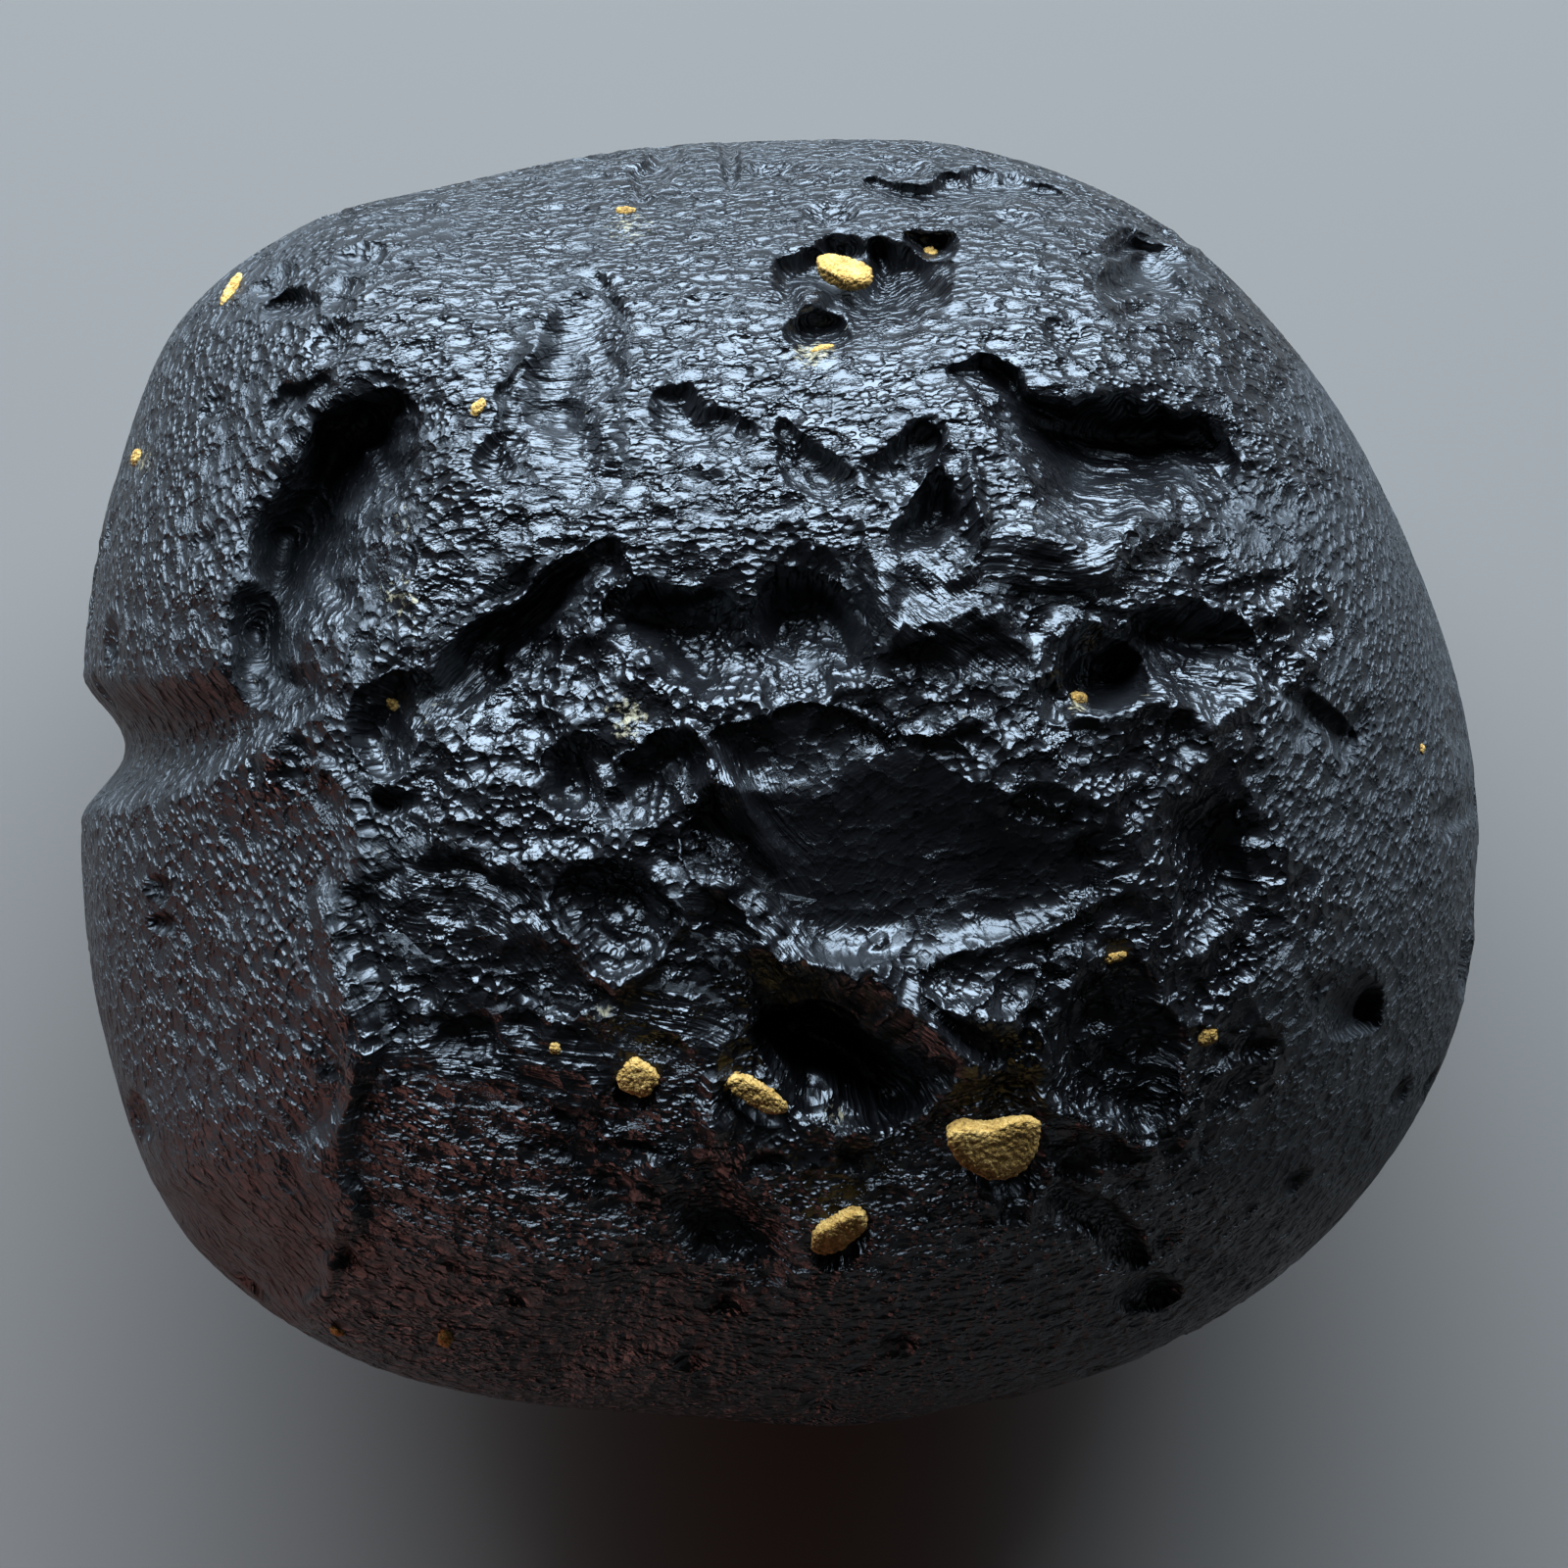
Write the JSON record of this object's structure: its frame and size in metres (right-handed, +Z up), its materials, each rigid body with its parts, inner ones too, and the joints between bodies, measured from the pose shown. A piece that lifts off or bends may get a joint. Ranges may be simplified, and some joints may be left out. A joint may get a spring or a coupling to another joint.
{
  "type": "tektite",
  "caption": "Rounded lump of black natural glass with a deeply pitted and grooved face, a worn resting flat and dried ochre soil lodged in its hollows.",
  "frame": {"origin": "centre of the bounding box, on the resting plane", "axes": "+X along the longest side, to the right of the pitted face; +Y to the face's upper edge; +Z up, out of the face"},
  "size_m": [0.0475, 0.0437, 0.0349],
  "materials": {
    "natural_glass": "black opaque natural glass, glossy on the walls of the hollows and finely pitted elsewhere",
    "dried_soil": "dull ochre dried soil, granular"
  },
  "bodies": {
    "root": {"tektite": "natural_glass", "soil_plug_1": "dried_soil", "soil_plug_2": "dried_soil", "soil_plug_3": "dried_soil", "soil_plug_4": "dried_soil", "soil_plug_5": "dried_soil"}
  },
  "joints": []
}
